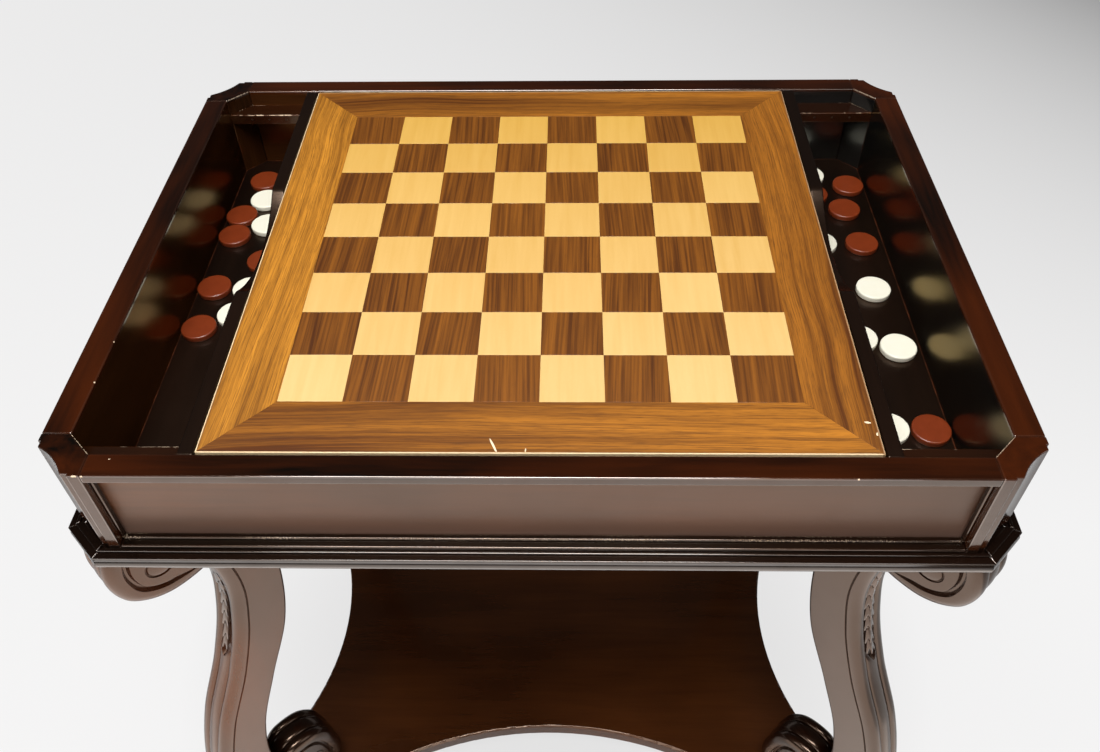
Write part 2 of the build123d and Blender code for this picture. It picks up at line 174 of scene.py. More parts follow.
def toned(paint, share, dark, warm):
    """A colour from the dark tone to the warm one by the share."""
    return paint.blend(share, (*dark, 1), (*warm, 1))


def well_share(paint, top):
    """1 on the faces inside the wells and below top, and 0 elsewhere."""
    side = inner_length + ALLOWANCE - paint.x.math("ABSOLUTE")
    end = inner_depth + ALLOWANCE - paint.y.math("ABSOLUTE")
    return side.math("MINIMUM", end).over(0, ALLOWANCE / 2) * (1 - paint.z.over(top, SOFT))


def mahogany(name, axis, dark=DEEP_BROWN[0], warm=DEEP_BROWN[1], rubbed=0.0, bare=None, gloss=1.0, blur=0.0,
             top=None, lean=0.0, mark_colour=BARE_WOOD, ior=1.72, coat_ior=1.45, dull=None, painted_shade_below=0.0,
             tint=(1.0, 0.68, 0.48)):
    """Stained mahogany under lacquer, rubbed lighter on an arris and bare where bare says.

    Above top it is redder. In the wells it shines without a coat, most in the one on the right, whose colour
    is a painted grey sheen. Lean paints light on one side, making the wood warmer and lighter there. What
    bare marks
    takes the bare colour: bare wood, and also painted highlights and sheen. Above dull it has little shine,
    and low down it fades to the dark colour, a painted shade.
    """
    paint = Paint(name, Coat_IOR=coat_ior, Coat_Roughness=0.08 + blur, IOR=ior, Specular_Tint=(*tint, 1))
    grain = along(paint, axis, 14.0)
    streaks = paint.noise(grain, 95.0, 5.0, 0.6, 0.4)
    clouds = paint.noise(along(paint, axis, 2.5), 9.0, 2.0)
    pores = paint.noise(along(paint, axis, 30.0), 900.0, 2.0)
    tone = (streaks.over(0.52, 0.5) * 0.35 + clouds.over(0.5, 0.3) * 0.65) * (0.75 + pores * 0.5)
    # Painted light: lean makes the wood warmer and lighter to one side, and below a given height it fades to
    # the dark colour as painted shade.
    tone_with_painted_light = tone * (0.65 + paint.x * lean) if lean else tone
    if painted_shade_below:
        tone_with_painted_light = tone_with_painted_light * paint.z.over(painted_shade_below, 0.05)
    colour = toned(paint, tone_with_painted_light, dark, warm)
    if top:
        within = well_share(paint, top)
        low = 1 - paint.z.over(panel_foot + SOFT, SOFT)
        # The right well is painted with a grey sheen.
        painted_sheen_side = paint.x.over(0, 0.1)
        for share, tones in ((low, NEAR_BLACK), (within, WELL_BROWN), (within * painted_sheen_side, WELL_PAINTED_SHEEN)):
            colour = paint.blend(share, colour, toned(paint, tone, *tones))
        paint.put(paint.shader, Metallic=within * (0.6 + painted_sheen_side * 0.35))
        # Painted light: the rim's top warms towards the right.
        mottle = streaks.over(0.5, 0.3) * 0.35 + clouds.over(0.52 - paint.x * 0.06, 0.18) * 0.65
        colour = paint.blend(paint.z.over(top, SOFT), colour, toned(paint, mottle, *TOP_BROWN))
    haze = paint.noise(paint.place, 38.0, 4.0)
    wave = paint.noise(paint.place, 11.0, 1.0)
    rough = 0.17 + blur + haze * 0.06 + pores * 0.03
    coat = (0.38 - haze.over(0.62, 0.3) * 0.06) * gloss
    if top:
        coat = coat * (1 - within) * (1 - low * 0.6)
    if dull:
        coat = coat * (1 - paint.z.over(dull, SOFT) * 0.85)
    if rubbed:
        rub = paint.noise(paint.place, 30.0, 3.0).over(0.5, 0.3) * rubbed
        colour = paint.blend(rub, colour, (*RUBBED_BROWN, 1))
    if bare:
        wear_and_painted_light = bare(paint)
        colour = paint.blend(wear_and_painted_light, colour, (*mark_colour, 1))
        coat = coat * (1 - wear_and_painted_light)
    paint.put(paint.shader, Base_Color=colour, Roughness=rough, Coat_Weight=coat)
    paint.bump(wave + pores * 0.03, 0.0004, 0.2)
    return paint.material


# Nicks along the rim, each with its place, its half length and half width, and its turn.
NICKS = [
    (-0.3360, -0.2768, 0.0022, 0.0007, 0.05), (-0.3305, -0.2768, 0.0010, 0.0005, 0.0),
    (-0.2827, -0.2558, 0.0009, 0.0006, 0.2), (-0.3149, -0.2610, 0.0010, 0.0003, 0.15),
    (-0.3526, -0.1839, 0.0005, 0.0011, 0.0), (-0.3524, -0.1380, 0.0004, 0.0008, 0.0),
    (0.2296, -0.2768, 0.0008, 0.0007, 0.0), (0.2788, -0.2556, 0.0016, 0.0004, 0.0),
    (0.3322, -0.2557, 0.0022, 0.0004, 0.1),
]
rim_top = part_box("front_apron")[1].z
ledger_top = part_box("front_ledger")[1].z
inner_depth = -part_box("front_ledger")[0].y
inner_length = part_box("case_floor")[1].x
panel_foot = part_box("front_panel")[0].z
INNER_CANT = 0.0195


def marks(paint, places):
    """Shares of bare wood at small ragged marks."""
    bare = None
    ragged = paint.noise(paint.place, 1500.0, 2.0) * 0.5
    for x, y, length, width, turn in places:
        dx, dy = paint.x - x, paint.y - y
        u = (dx * cos(turn) + dy * sin(turn)) * (1 / length)
        v = (dy * cos(turn) - dx * sin(turn)) * (1 / width)
        spot = (1.35 - (u * u + v * v + ragged)).over(0.3, 0.3)
        bare = spot if bare is None else bare.math("MAXIMUM", spot)
    return bare


def rim_wear_and_highlight(paint):
    """Pale marks on the rim: the nicks, and along the inner arris across each canted corner a line that is
    partly wear and partly a painted highlight, fainter at the back.
    """
    across, back = paint.x.math("ABSOLUTE"), paint.y.math("ABSOLUTE")
    off = (across + back - (inner_length + inner_depth - INNER_CANT)).math("ABSOLUTE")
    ragged = paint.noise(paint.place, 420.0, 3.0)
    line = (1 - off.over(0.0008, 0.0005)) * ragged.over(0.45, 0.16) * (1 - paint.y.over(0.1, 0.2) * 0.7)
    line = line * (1 - across.over(inner_length, 0.0012)) * (1 - back.over(inner_depth, 0.0012))
    return marks(paint, NICKS).math("MAXIMUM", line * 0.9) * paint.z.over(rim_top - 0.0012, 0.0008)


def ledger_painted_highlight(paint):
    """A painted highlight, in short pale dashes along the ledgers' top arrises."""
    runs = paint.noise(paint.vector(paint.x, paint.y * 0.2, 3.7), 34.0, 2.0).over(0.55, 0.05)
    broken = paint.noise(paint.place, 500.0, 3.0).over(0.44, 0.1)
    return runs * broken * paint.z.over(ledger_top - 0.0011, 0.0006) * 0.85


def bead_wear_and_highlight(paint):
    """Pale specks along the foot of the panel's bead, partly wear and partly a painted highlight."""
    runs = paint.noise(paint.vector(paint.x, paint.y, 1.3), 21.0, 2.0).over(0.5, 0.2)
    foot = 1 - paint.z.over(panel_foot + 0.004, SOFT)
    return runs * paint.noise(paint.place, 800.0, 3.0).over(0.55, 0.1) * foot * 0.3


def panel_painted_sheen(paint):
    """Shares of a painted sheen, dull and brown, low on the panels."""
    return (1 - paint.z.over(panel_foot + 0.018, 0.034)) * 0.75


MAHOGANY = {axis: mahogany(f"mahogany_{axis.lower()}", axis) for axis in "XZ"}
BLACK = mahogany("black_mahogany", "Z", *NEAR_BLACK, gloss=0.3, ior=1.4)
ARRIS = {axis: mahogany(f"arris_mahogany_{axis.lower()}", axis, rubbed=0.35) for axis in "XZ"}
# The rim's boards turn redder from just below the top, where their sides end.
redder_from = rim_top - 0.003
# Painted light: lean makes the rim's boards warmer and lighter to the left.
RIM = {
    axis: mahogany(
        f"rim_mahogany_{axis.lower()}", axis, bare=rim_wear_and_highlight, gloss=2.2, top=redder_from, lean=-0.6,
        ior=1.35, coat_ior=1.6, tint=(1.0, 0.78, 0.48),
    )
    for axis in "XYZ"
}
RIM_ARRIS = {
    axis: mahogany(
        f"rim_arris_{axis.lower()}", axis, *NEAR_BLACK, rubbed=0.1, bare=rim_wear_and_highlight, gloss=2.6,
        top=redder_from, coat_ior=2.0,
    )
    for axis in "XYZ"
}


def merged(names):
    """A mesh under construction with the CAD nodes' triangles joined up into clean faces."""
    mesh = bmesh.new()
    for name in names:
        mesh.from_mesh(nodes[name].data)
    bmesh.ops.remove_doubles(mesh, verts=mesh.verts, dist=JOIN)
    bmesh.ops.dissolve_limit(mesh, angle_limit=FLAT_ENOUGH, verts=mesh.verts, edges=mesh.edges)
    return mesh


def piece(mesh, name, materials, body, replaced=(), weighted=True):
    """Turn a mesh under construction into a piece that rides on a body."""
    for face in mesh.faces:
        face.smooth = True
    for edge in mesh.edges:
        edge.smooth = edge.calc_face_angle(0.0) < TURN_THAT_CREASES
    data = bpy.data.meshes.new(name)
    mesh.to_mesh(data)
    mesh.free()
    thing = bpy.data.objects.new(name, data)
    bpy.context.scene.collection.objects.link(thing)
    for material in materials:
        data.materials.append(material)
    if weighted:
        thing.modifiers.new("weighted", "WEIGHTED_NORMAL").keep_sharp = True
    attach(thing, body)
    if replaced:
        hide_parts(*replaced)
    return thing


def finish(name, material):
    """Give a CAD node that stays as it is its one material."""
    nodes[name].data.materials.clear()
    nodes[name].data.materials.append(material)


def ease(mesh, width, segments=2, over=0.0):
    """Round every sharp arris over a height by a width, and give the rounding the second material."""
    sharp = [
        edge for edge in mesh.edges
        if edge.is_convex and edge.calc_face_angle(0.0) > TURN_THAT_EASES
        and edge.calc_length() > SHORTEST_EASED and min(v.co.z for v in edge.verts) > over
    ]
    bmesh.ops.bevel(
        mesh, geom=sharp, offset=width, offset_type="OFFSET", segments=segments, profile=0.5,
        affect="EDGES", clamp_overlap=True, material=1,
    )


def eased(names, name, materials, slot="mahogany", body="table", width=EASING, segments=2, over=0.0):
    """A piece from CAD nodes, with its arrises eased."""
    mesh = merged(names)
    ease(mesh, width, segments, over)
    return piece(mesh, name, materials, body, names)


for corner in CORNERS:
    lacquered = RIM["Z"], RIM_ARRIS["Z"]
    eased([f"{corner}_post"], f"{corner}_canted_post", lacquered, width=BOARD_ARRIS, segments=4)
for side in SIDES:
    axis = "X" if side in ("front", "back") else "Y"
    lacquered = RIM[axis], RIM_ARRIS[axis]
    bead = mahogany(f"{side}_bead_mahogany", axis, *NEAR_BLACK, rubbed=0.1, bare=bead_wear_and_highlight, gloss=2.4)
    eased([f"{side}_apron"], f"{side}_apron_board", lacquered, width=BOARD_ARRIS, segments=4)
    eased([f"{side}_panel_bead"], f"{side}_panel_moulding", (BLACK, bead), width=BEAD_ARRIS, segments=4)
    # Painted light on the panels: lean makes them warmer and lighter to the left, and low down they get a
    # painted dull sheen in place of the coat.
    finish(f"{side}_panel", mahogany(
        f"{side}_panel_mahogany", axis, (0.020, 0.0080, 0.0045), (0.170, 0.050, 0.014), blur=0.16, lean=-1.2,
        bare=panel_painted_sheen, mark_colour=(0.14, 0.085, 0.065),
    ))

# The wells: a thin floor, dividers with a finger scoop, and ledgers nailed inside the walls.
# All are of the case's mahogany, darker and duller, and the ledgers' brads are of iron.
DIVIDER_ARRIS = 0.0012
BRAD_ARRIS = 0.0003
# The ledgers' mahogany is painted darker than the case's: a painted shade.
LEDGER_PAINTED_SHADE = mahogany("ledger_mahogany", "X", (0.0040, 0.0012, 0.0006), (0.022, 0.0060, 0.0018))
LEDGER_ARRIS = mahogany("ledger_arris", "X", *TOP_BROWN, rubbed=0.1, bare=ledger_painted_highlight, gloss=2.4)
WELL = mahogany("well_mahogany", "Y", *NEAR_BLACK, gloss=0.2, blur=0.03)
WELL_ARRIS = mahogany("well_arris", "Y", *NEAR_BLACK, gloss=1.0)


def floor_painted_reflection(paint):
    """A thin line of painted reflection round the well floor, where it meets the walls."""
    side = inner_length - paint.x.math("ABSOLUTE")
    end = inner_depth - paint.y.math("ABSOLUTE")
    cant = (side + end - INNER_CANT) * (1 / sqrt(2))
    near = side.math("MINIMUM", end).math("MINIMUM", cant)
    patches = paint.noise(paint.place, 60.0, 3.0).over(0.55, 0.2)
    return (1 - near.over(0.0007, 0.0004)) * (0.03 + patches * 0.09)


# The well floor gets a painted reflection along its edge.
finish("case_floor", mahogany(
    "floor_mahogany", "Y", *NEAR_BLACK, bare=floor_painted_reflection, gloss=0.2, blur=0.08, mark_colour=(0.7, 0.19, 0.08),
))
for side in ("left", "right"):
    eased([f"{side}_divider"], f"{side}_divider_board", (WELL, WELL_ARRIS), width=DIVIDER_ARRIS, segments=3)
for side in ("front", "back"):
    eased([f"{side}_ledger"], f"{side}_ledger_strip", (LEDGER_PAINTED_SHADE, LEDGER_ARRIS), width=BOARD_ARRIS, segments=4)


def iron():
    """Punched brad heads: dull iron, stained over, with a rim of rust."""
    paint = Paint("brad_iron", Metallic=1.0)
    spots = paint.noise(paint.place, 900.0, 3.0)
    paint.put(paint.shader, Base_Color=paint.blend(spots, (0.02, 0.016, 0.014, 1), (0.16, 0.11, 0.08, 1)))
    paint.put(paint.shader, Roughness=0.35 + spots * 0.3)
    return paint.material


eased(["ledger_brads"], "brads_in_ledgers", (iron(), iron()), slot="brad_iron", width=BRAD_ARRIS)

# The base: a board under the case, edged by a moulding with a bead, a quirk and a full round.
# Both are mahogany, and the moulding is cut to eight mitred lengths and glued to the board's edge.
MOULDING_ARRIS = 0.0007
base_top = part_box("base_board")[1].z
torus_top = base_top - 0.0025
eased(["base_board"], "base_under_board", (MAHOGANY["X"], ARRIS["X"]))
for axis, runs in (("X", ("front", "back", *CORNERS)), ("Y", ("left", "right"))):
    dark = mahogany(
        f"moulding_mahogany_{axis.lower()}", axis, *NEAR_BLACK, gloss=2.4, ior=1.4, coat_ior=1.7,
        dull=torus_top,
    )
    dark_arris = mahogany(f"moulding_arris_{axis.lower()}", axis, *NEAR_BLACK, gloss=2.6, coat_ior=2.0)
    for side in runs:
        eased(
            [f"{side}_base_moulding"], f"{side}_moulding", (dark, dark_arris), width=MOULDING_ARRIS,
            segments=4, over=base_top - 0.0005,
        )

# The legs: flat sawn scrolls. The outward edge is worked as a reed between two rolls, which run
# on round both volutes, a quirk sets the rolls off from the flat sides, and each volute has an eye.
LEG_REACH = 0.151
LEG_SET_BACK = 0.129
LEG_HALF = 0.023
STATION_STEP = 0.004
LEG_JOIN = 0.00001
SIDE_FLAT = radians(0.1)
leg_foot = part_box("platform")[1].z
leg_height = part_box("base_board")[0].z - leg_foot
base_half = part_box("right_base_moulding")[1].x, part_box("back_base_moulding")[1].y
CANT_HALF = 0.015
# Outlines, in shares of the leg's reach and of its height.
INNER_EDGE_SHARES = [
    (0.080, 1.0), (-0.030, 0.900), (-0.040, 0.760), (0.055, 0.617), (0.285, 0.483),
    (0.483, 0.354), (0.548, 0.240), (0.517, 0.168),
]
LOWER_VOLUTE_SHARES = [
    (0.517, 0.168), (0.440, 0.188), (0.330, 0.192), (0.200, 0.183), (0.105, 0.157),
    (0.045, 0.110), (0.024, 0.065), (0.113, 0.0),
]
UPPER_VOLUTE_SHARES = [
    (0.820, 1.0), (0.858, 0.930), (0.805, 0.892), (0.715, 0.871), (0.600, 0.859),
    (0.470, 0.858), (0.350, 0.864),
]
OUTER_EDGE_SHARES = [
    (0.350, 0.864), (0.312, 0.775), (0.371, 0.682), (0.526, 0.561), (0.762, 0.427),
    (0.921, 0.289), (0.998, 0.170), (0.990, 0.095), (0.920, 0.030), (0.755, 0.0),
]
# The edge's half sections, in millimetres across from its middle and deep below the outline.
REEDED = [
    (23.0, 14.8), (22.9, 14.3), (21.7, 13.7), (22.2, 12.9), (22.9, 12.2), (22.9, 9.5), (22.2, 6.2),
    (20.7, 3.2), (18.5, 1.2), (16.0, 0.2), (13.6, 0.1), (11.5, 0.9), (10.1, 2.2), (9.2, 4.2),
    (8.4, 2.4), (6.9, 1.2), (4.8, 0.5), (2.4, 0.15), (0.0, 0.05),
]
PLAIN = [
    (23.0, 3.0), (23.0, 2.6), (22.9, 2.1), (22.7, 1.6), (22.4, 1.1), (22.0, 0.7), (21.4, 0.3),
    (20.4, 0.1), (18.5, 0.0), (16.0, 0.0), (13.6, 0.0), (11.5, 0.0), (10.1, 0.0), (9.2, 0.0),
    (8.4, 0.0), (6.9, 0.0), (4.8, 0.0), (2.4, 0.0), (0.0, 0.0),
]
BOLD = [(23.0, 21.0), (22.7, 20.2), (19.2, 18.4), (19.0, 16.4), (22.4, 14.0)]
# The upper volute's side groove deepens over these shares of the reach, and the lower one's fades.
UPPER_BOLD_SHARES = (0.37, 0.56)
LOWER_BOLD_SHARES = (0.35, 0.47)
VOLUTE_SHARE = 0.8
# The carved channel: its depth and half width in millimetres, then shares of the leg's height.
CHANNEL_DEPTH = 4.0
CHANNEL_HALF = 9.5
CHANNEL_LOW = 0.583
CHANNEL_HIGH = 0.852
CHANNEL_SLANT = 0.0022
FADE_LOW = 0.004
FADE_HIGH = 0.012
MM = 0.001


def smoothstep(value, low, high):
    """0 below low and 1 above high, with an easy curve between them."""
    share = min(1.0, max(0.0, (value - low) / (high - low)))
    return share * share * (3 - 2 * share)


def flowing(shares, step):
    """Points every step along a smooth curve through shares of the leg's reach and height."""
    points = [Vector((u * LEG_REACH - LEG_SET_BACK, h * leg_height)) for u, h in shares]
    gaps = [(b - a).length for a, b in zip(points, points[1:])]
    slopes = [(points[1] - points[0]) / gaps[0]]
    for i in range(1, len(points) - 1):
        before = (points[i] - points[i - 1]) / gaps[i - 1]
        after = (points[i + 1] - points[i]) / gaps[i]
        slopes.append((before * gaps[i] + after * gaps[i - 1]) / (gaps[i - 1] + gaps[i]))
    slopes.append((points[-1] - points[-2]) / gaps[-1])
    slopes[0] = 2 * slopes[0] - slopes[1]
    slopes[-1] = 2 * slopes[-1] - slopes[-2]
    dense = []
    for i, gap in enumerate(gaps):
        ends = points[i].to_3d(), points[i + 1].to_3d()
        pulls = (slopes[i] * gap / 3).to_3d(), (slopes[i + 1] * gap / 3).to_3d()
        count = max(4, round(gap / step) + 1)
        span = interpolate_bezier(ends[0], ends[0] + pulls[0], ends[1] - pulls[1], ends[1], count)
        dense += [p.to_2d() for p in span[:-1]]
    return dense + [points[-1]]


def stations(curves, turn):
    """Places along joined curves, each with its direction and its inward normal."""
    found = []
    for shares in curves:
        points = flowing(shares, STATION_STEP)
        ways = [(b - a).normalized() for a, b in zip(points, points[1:])]
        for i, point in enumerate(points):
            way = (ways[max(0, i - 1)] + ways[min(i, len(ways) - 1)]).normalized()
            inward = Vector((way.y, -way.x)) * turn
            if found and i == 0:
                last = found[-1][2]
                for share in (0.25, 0.5, 0.75):
                    between = last.lerp(inward, share).normalized()
                    found.append((point, way, between))
            found.append((point, way, inward))
    return found


def section(reeded, share, bold):
    """The edge's section at a station, from one flat side to the other, in millimetres."""
    half = []
    for i, ((t, deep), (plain_t, plain_deep)) in enumerate(zip(REEDED, PLAIN)):
        if i < len(BOLD):
            t, deep = t + (BOLD[i][0] - t) * bold, deep + (BOLD[i][1] - deep) * bold
        if abs(t) < CHANNEL_HALF:
            foot = CHANNEL_LOW + CHANNEL_SLANT * t
            low = smoothstep(share, foot - FADE_LOW, foot + FADE_LOW)
            carved = low * (1 - smoothstep(share, CHANNEL_HIGH - FADE_HIGH, CHANNEL_HIGH))
            deep = deep + (CHANNEL_DEPTH - deep) * carved
        half.append((plain_t + (t - plain_t) * reeded, plain_deep + (deep - plain_deep) * reeded))
    return half + [(-t, deep) for t, deep in half[-2::-1]]


def skin(mesh, rows, closed=False):
    """Faces between neighbouring rows of corners, joined end to end where the rows are closed."""
    for low, high in zip(rows, rows[1:]):
        pairs = list(zip(low, high))
        if closed:
            pairs.append(pairs[0])
        for (a, d), (b, c) in zip(pairs, pairs[1:]):
            mesh.faces.new((a, b, c, d))


def leg_place(corner, reach, height, across):
    """A point of a corner's leg: out along the diagonal, up from the platform and across."""
    sx = -1 if corner.endswith("left") else 1
    sy = -1 if corner.startswith("front") else 1
    out = Vector((sx, sy, 0)).normalized()
    side = Vector((sy, -sx, 0)).normalized()
    middle = Vector((sx * (base_half[0] - CANT_HALF), sy * (base_half[1] - CANT_HALF), leg_foot))
    return middle + out * reach + side * across + Vector((0, 0, height))


def edge_strip(mesh, corner, places, reeded_from, channelled):
    """Sweep the edge's section along its places, and return the strip's rows of corners."""
    rows = []
    for i, (point, way, inward) in enumerate(places):
        share = point.y / leg_height
        reach = (point.x + LEG_SET_BACK) / LEG_REACH
        reeded = 1.0 if i >= reeded_from else 0.0
        if channelled:
            bold = smoothstep(reach, *UPPER_BOLD_SHARES) * (1.0 if share > VOLUTE_SHARE else 0.0)
        else:
            bold = reeded * (1 - smoothstep(reach, *LOWER_BOLD_SHARES))
        row = []
        for t, deep in section(reeded, share if channelled else 0.0, bold):
            spot = point + inward * deep * MM
            if i in (0, len(places) - 1):
                level = leg_height if i == 0 else 0.0
                spot = spot + way * ((level - spot.y) / way.y)
            row.append(mesh.verts.new(leg_place(corner, spot.x, spot.y, t * MM)))
        rows.append(row)
    skin(mesh, rows)
    return rows


def ring(mesh, corner, centre, radius, across):
    """A circle of corners in the leg's plane, at a place across it."""
    turns = [2 * pi * i / EYE_TURNS for i in range(EYE_TURNS)]
    return [
        mesh.verts.new(leg_place(corner, centre[0] + radius * cos(a), centre[1] + radius * sin(a), across))
        for a in turns
    ]


# The eyes: shares of reach and height, and a radius, then shares of the radius with depths in mm.
UPPER_EYE = (0.580, 0.936, 0.0135)
LOWER_EYE = (0.270, 0.100, 0.0110)
EYE_TURNS = 48
EYE_SECTION = [
    (1.0, 0.0), (0.96, 1.2), (0.91, 1.5), (0.86, 1.2), (0.82, 0.2), (0.70, -0.2), (0.45, -0.4), (0.10, -0.5),
]
# Painted light on the legs: lean makes them warmer and lighter to the left, and below 0.19 m they fade to the
# dark colour, a painted shade.
LEG = mahogany("leg_mahogany", "Z", lean=-1.6, blur=0.03, gloss=0.7, painted_shade_below=0.19)


def build_leg(corner):
    """A leg: its two swept edges, its flat sides with their eyes, and its level ends."""
    mesh = bmesh.new()
    outer = stations([UPPER_VOLUTE_SHARES, OUTER_EDGE_SHARES], 1)
    inner = stations([INNER_EDGE_SHARES, LOWER_VOLUTE_SHARES], -1)
    crevice = len(flowing(INNER_EDGE_SHARES, STATION_STEP))
    outer_rows = edge_strip(mesh, corner, outer, 0, True)
    inner_rows = edge_strip(mesh, corner, inner, crevice, False)
    for end, across in ((0, LEG_HALF), (-1, -LEG_HALF)):
        loop = [row[end] for row in outer_rows] + [row[end] for row in reversed(inner_rows)]
        edges = [mesh.edges.get(pair) or mesh.edges.new(pair) for pair in zip(loop, loop[1:] + loop[:1])]
        for u, h, radius in (UPPER_EYE, LOWER_EYE):
            centre = (u * LEG_REACH - LEG_SET_BACK, h * leg_height)
            sign = 1 if across > 0 else -1
            rings = [
                ring(mesh, corner, centre, radius * share, across - sign * deep * MM)
                for share, deep in EYE_SECTION
            ]
            skin(mesh, rings, closed=True)
            mesh.faces.new(rings[-1])
            edges += [mesh.edges.get(pair) for pair in zip(rings[0], rings[0][1:] + rings[0][:1])]
        bmesh.ops.triangle_fill(mesh, edges=edges, use_beauty=True)
    for i in (0, -1):
        loop = outer_rows[i] + inner_rows[i][::-1]
        mesh.faces.new(loop)
    bmesh.ops.remove_doubles(mesh, verts=mesh.verts, dist=LEG_JOIN)
    bmesh.ops.recalc_face_normals(mesh, faces=mesh.faces)
    bmesh.ops.dissolve_limit(
        mesh, angle_limit=SIDE_FLAT, verts=mesh.verts,
        edges=[e for e in mesh.edges if all(len(f.verts) == 3 for f in e.link_faces)],
    )
    piece(mesh, f"{corner}_scroll_leg", (LEG,), "table", (f"{corner}_leg",))


for corner in CORNERS:
    build_leg(corner)

# The carvings: a drop of husks, bells of leaves one below the other, in each leg's channel.
# Each drop is carved from one piece of mahogany and glued in.
HUSKS = 8
HUSK_LENGTH = 0.021
HUSK_RADIUS = 0.0074
LEAVES = 5
TURNS = LEAVES * 8
DROP_FOOT = 0.612
DROP_TOP = 0.842
HUSK_SEAT = 0.72
HUSK_TAPER = 0.35
LOBE = 0.28
LEAF_TIP = 0.22
FLATNESS = 0.8
HUSK_PROFILE = [
    (0.10, 0.0), (0.42, 0.08), (0.62, 0.25), (0.78, 0.5), (1.0, 0.86), (0.92, 0.97), (0.55, 0.9), (0.3, 0.6),
]
CARVED = mahogany("carved_mahogany", "Z", (0.010, 0.004, 0.0025), (0.065, 0.026, 0.014), gloss=2.4)


def build_carving(corner):
    """A drop of husks down a leg's channel, each smaller than the one above."""
    mesh = bmesh.new()
    drop = [p for p in stations([OUTER_EDGE_SHARES], 1) if DROP_FOOT < p[0].y / leg_height < DROP_TOP]
    for i in range(HUSKS):
        point, way, inward = drop[round((i + 0.2) * (len(drop) - 1) / HUSKS)]
        size = 1.0 - HUSK_TAPER * i / HUSKS
        seat = point + inward * (CHANNEL_DEPTH * MM * HUSK_SEAT)
        rows = []
        for radius, down in HUSK_PROFILE:
            row = []
            for j in range(TURNS):
                turn = 2 * pi * j / TURNS
                lobe = 1 + LOBE * (0.5 - abs(sin(turn * LEAVES / 2))) * radius
                reach = HUSK_RADIUS * size * radius * lobe
                tip = down * HUSK_LENGTH * (1 + LEAF_TIP * cos(turn * LEAVES) * radius)
                spot = seat + way * tip - inward * reach * sin(turn) * FLATNESS
                row.append(mesh.verts.new(leg_place(corner, spot.x, spot.y, reach * cos(turn))))
            rows.append(row)
        skin(mesh, rows, closed=True)
        mesh.faces.new(rows[0])
        mesh.faces.new(rows[-1])
    bmesh.ops.recalc_face_normals(mesh, faces=mesh.faces)
    piece(mesh, f"{corner}_husk_drop", (CARVED,), "table", (f"{corner}_carving",), weighted=False)


for corner in CORNERS:
    build_carving(corner)

# The platform and the feet: a wide mahogany shelf with hollowed sides, screwed to the legs from
# below, and turned bun feet spigoted into it. Dowels hold the legs' tops.
SHELF_ARRIS = 0.0004
FOOT_ARRIS = 0.0008
# The shelf's mahogany is painted lighter than the case's: painted light in the shade under the case.
PAINTED_LIGHT_SHELF = mahogany("shelf_mahogany", "X", (0.030, 0.0080, 0.0020), (0.100, 0.029, 0.0070))
eased(["platform"], "platform_shelf", (PAINTED_LIGHT_SHELF, PAINTED_LIGHT_SHELF), width=SHELF_ARRIS)
for corner in CORNERS:
    eased([f"{corner}_foot"], f"{corner}_bun_foot", (MAHOGANY["Z"], ARRIS["Z"]), width=FOOT_ARRIS)


def plain_wood():
    """Unpolished inner wood, with open straight grain."""
    paint = Paint("plain_wood")
    grain = paint.noise(along(paint, "Y", 20.0), 260.0, 4.0)
    paint.put(paint.shader, Base_Color=paint.blend(grain, (0.30, 0.19, 0.10, 1), (0.47, 0.33, 0.20, 1)))
    paint.put(paint.shader, Roughness=0.62 + grain * 0.2)
    paint.bump(grain, 0.0002, 0.6)
    return paint.material


def steel():
    """Zinc-dulled screws."""
    paint = Paint("screw_steel", Metallic=1.0)
    dull = paint.noise(paint.place, 600.0, 3.0)
    paint.put(paint.shader, Base_Color=paint.blend(dull, (0.36, 0.34, 0.31, 1), (0.55, 0.53, 0.50, 1)))
    paint.put(paint.shader, Roughness=0.28 + dull * 0.25)
    return paint.material


PLAIN_WOOD = plain_wood()
finish("leg_dowels", PLAIN_WOOD)
finish("platform_screws", steel())

# The board: walnut borders mitred round a field of maple and walnut squares, in thin veneer
# over a core, edged with a pale strip. The satin lacquer is chipped in a few places.
SQUARE = 0.0508
VENEER_ARRIS = 0.00012
STRIP_ARRIS = 0.0005
CORE_ARRIS = 0.0003
# Each border's shade is partly the wood's own tone and partly painted light, lightest on the left.
BORDER_WOOD_AND_LIGHT_SHADES = {"front": 0.88, "back": 0.84, "left": 1.14, "right": 0.83}
CHIPPED = (0.85, 0.70, 0.48)
CHIPS = [
    (-0.0330, -0.2466, 0.0009, 0.0082, 0.42), (0.2470, -0.2231, 0.0028, 0.0010, -0.2),
    (0.2520, -0.2344, 0.0010, 0.0018, -0.3), (-0.0090, -0.2512, 0.0005, 0.0024, -0.1),
]


